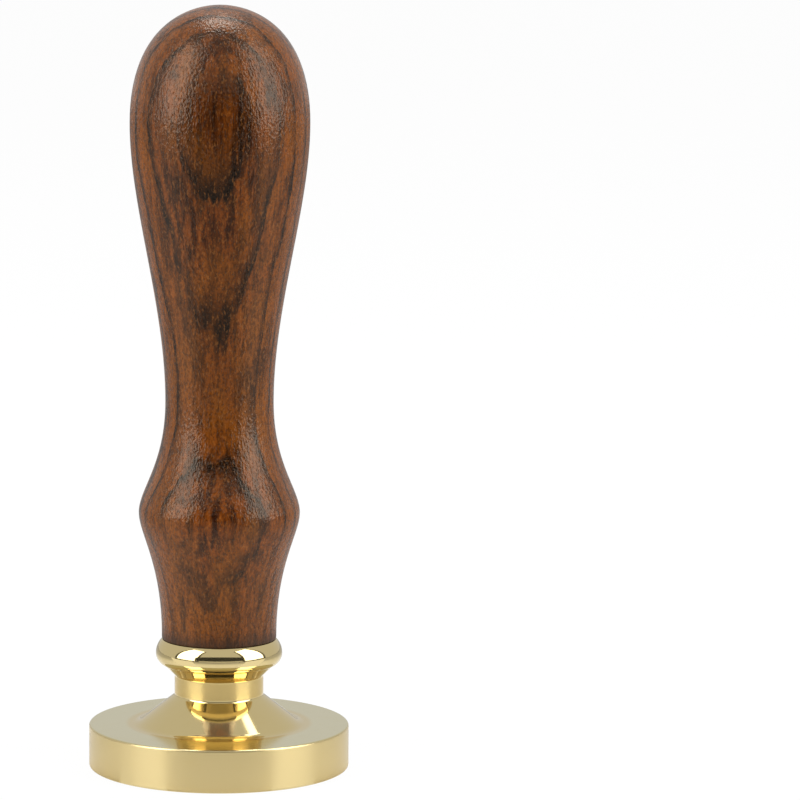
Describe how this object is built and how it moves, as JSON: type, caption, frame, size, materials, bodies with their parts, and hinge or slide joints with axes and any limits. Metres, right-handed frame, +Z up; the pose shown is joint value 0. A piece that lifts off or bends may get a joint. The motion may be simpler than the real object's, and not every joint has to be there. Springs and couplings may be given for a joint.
{
  "type": "wax seal stamp",
  "caption": "Wax seal stamp: a turned wooden handle on a brass seal head that unscrews from a hanger bolt, with a bordered rosette cut into its die.",
  "frame": {"origin": "centre of the die's face, at the bottom of the seal head", "axes": "+Z up along the turning axis through the handle; +X across the die, along one petal of its rosette"},
  "size_m": [0.03, 0.03, 0.0876],
  "materials": {
    "brass": "polished",
    "steel": "bright zinc plate",
    "rosewood": "satin oil, grain along the handle"
  },
  "bodies": {
    "head": {"seal_head": "brass"},
    "bolt": {"hanger_bolt": "steel"},
    "handle": {"wood_handle": "rosewood"}
  },
  "joints": [
    {"name": "thread_lift", "type": "slide", "parent": "head", "child": "bolt", "axis": [0, 0, 1], "range_m": [0, 0.008]},
    {"name": "handle_turn", "type": "hinge", "parent": "bolt", "child": "handle", "pos_m": [0, 0, 0.01485], "axis": [0, 0, 1], "range_deg": [0, 2880]}
  ],
  "couplings": [
    {"joint": "handle_turn", "follows": "thread_lift", "rad_per_m": 6283.2}
  ]
}
